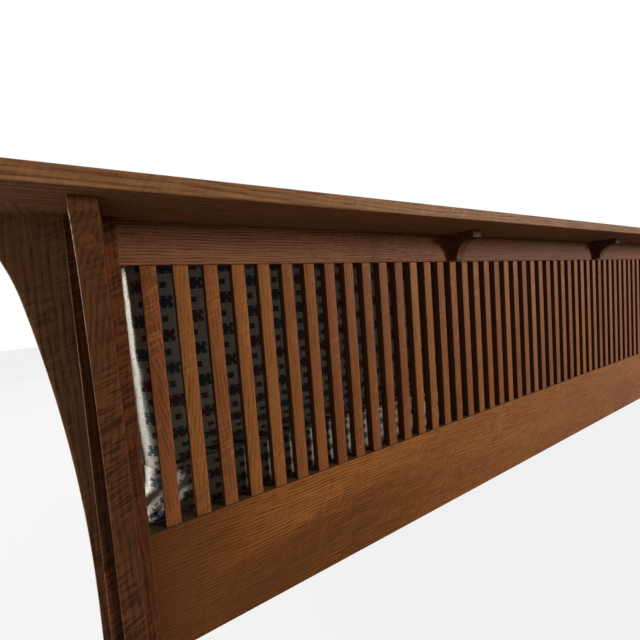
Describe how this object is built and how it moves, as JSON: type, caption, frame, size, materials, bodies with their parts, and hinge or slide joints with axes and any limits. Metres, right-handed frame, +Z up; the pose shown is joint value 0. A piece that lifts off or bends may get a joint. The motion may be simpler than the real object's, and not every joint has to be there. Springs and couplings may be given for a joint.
{
  "type": "mission settle",
  "caption": "Long oak settle with slatted back and sides, wide flat shelf and arms on curved corbels, slatted seat deck and loose patterned cushions.",
  "frame": {"origin": "on the floor, under the middle of the overall outline", "axes": "+X along the settle to the right as seen from the front, +Y to the back, +Z up"},
  "size_m": [2.1464, 0.9334, 0.758],
  "materials": {
    "oak_post": "satin",
    "oak_board": "satin",
    "oak_rail": "satin",
    "oak_slat": "satin",
    "oak_corbel": "satin",
    "peg_wood": "satin",
    "deck_wood": "satin",
    "screw_steel": "satin",
    "glide_plastic": "matte",
    "cushion_fabric": "matte"
  },
  "bodies": {
    "frame": {"arm_board_left": "oak_board", "arm_board_right": "oak_board", "back_lower_rail": "oak_rail", "back_pegs": "peg_wood", "back_shelf": "oak_board", "back_slats_left": "oak_slat", "back_slats_middle": "oak_slat", "back_slats_right": "oak_slat", "back_top_rail": "oak_rail", "corbel_plugs": "oak_rail", "corner_block_back_left": "deck_wood", "corner_block_back_right": "deck_wood", "corner_block_front_left": "deck_wood", "corner_block_front_right": "deck_wood", "corner_block_screws": "screw_steel", "cross_stretcher_left": "deck_wood", "cross_stretcher_right": "deck_wood", "deck_ledger_back": "deck_wood", "deck_ledger_front": "deck_wood", "deck_slat_screws": "screw_steel", "deck_slats": "deck_wood", "deck_stringer": "deck_wood", "front_pegs": "peg_wood", "front_rail": "oak_rail", "glides": "glide_plastic", "ledger_screws": "screw_steel", "long_corbel_back_left": "oak_corbel", "long_corbel_back_right": "oak_corbel", "long_corbel_front_side_left": "oak_corbel", "long_corbel_front_side_right": "oak_corbel", "long_corbel_rear_side_left": "oak_corbel", "long_corbel_rear_side_right": "oak_corbel", "mitre_splines": "peg_wood", "post_back_left": "oak_post", "post_back_right": "oak_post", "post_dowels": "peg_wood", "post_front_left": "oak_post", "post_front_right": "oak_post", "shelf_blocks": "oak_rail", "short_corbel_back_left": "oak_corbel", "short_corbel_back_right": "oak_corbel", "short_corbel_side_left": "oak_corbel", "short_corbel_side_right": "oak_corbel", "side_lower_rail_left": "oak_rail", "side_lower_rail_right": "oak_rail", "side_pegs_left": "peg_wood", "side_pegs_right": "peg_wood", "side_slats_left": "oak_slat", "side_slats_right": "oak_slat", "side_top_rail_left": "oak_rail", "side_top_rail_right": "oak_rail"},
    "seat_cushion_left": {"seat_cushion_left": "cushion_fabric"},
    "back_cushion_left": {"back_cushion_left": "cushion_fabric"},
    "seat_cushion_middle": {"seat_cushion_middle": "cushion_fabric"},
    "back_cushion_middle": {"back_cushion_middle": "cushion_fabric"},
    "seat_cushion_right": {"seat_cushion_right": "cushion_fabric"},
    "back_cushion_right": {"back_cushion_right": "cushion_fabric"}
  },
  "joints": [
    {"name": "seat_lift_left", "type": "slide", "parent": "frame", "child": "seat_cushion_left", "axis": [0, -0.1736, 0.9848], "range_m": [0, 0.45]},
    {"name": "back_lift_left", "type": "slide", "parent": "seat_cushion_left", "child": "back_cushion_left", "axis": [0, -0.1736, 0.9848], "range_m": [0, 0.38]},
    {"name": "seat_lift_middle", "type": "slide", "parent": "frame", "child": "seat_cushion_middle", "axis": [0, -0.1736, 0.9848], "range_m": [0, 0.45]},
    {"name": "back_lift_middle", "type": "slide", "parent": "seat_cushion_middle", "child": "back_cushion_middle", "axis": [0, -0.1736, 0.9848], "range_m": [0, 0.38]},
    {"name": "seat_lift_right", "type": "slide", "parent": "frame", "child": "seat_cushion_right", "axis": [0, -0.1736, 0.9848], "range_m": [0, 0.45]},
    {"name": "back_lift_right", "type": "slide", "parent": "seat_cushion_right", "child": "back_cushion_right", "axis": [0, -0.1736, 0.9848], "range_m": [0, 0.38]}
  ]
}
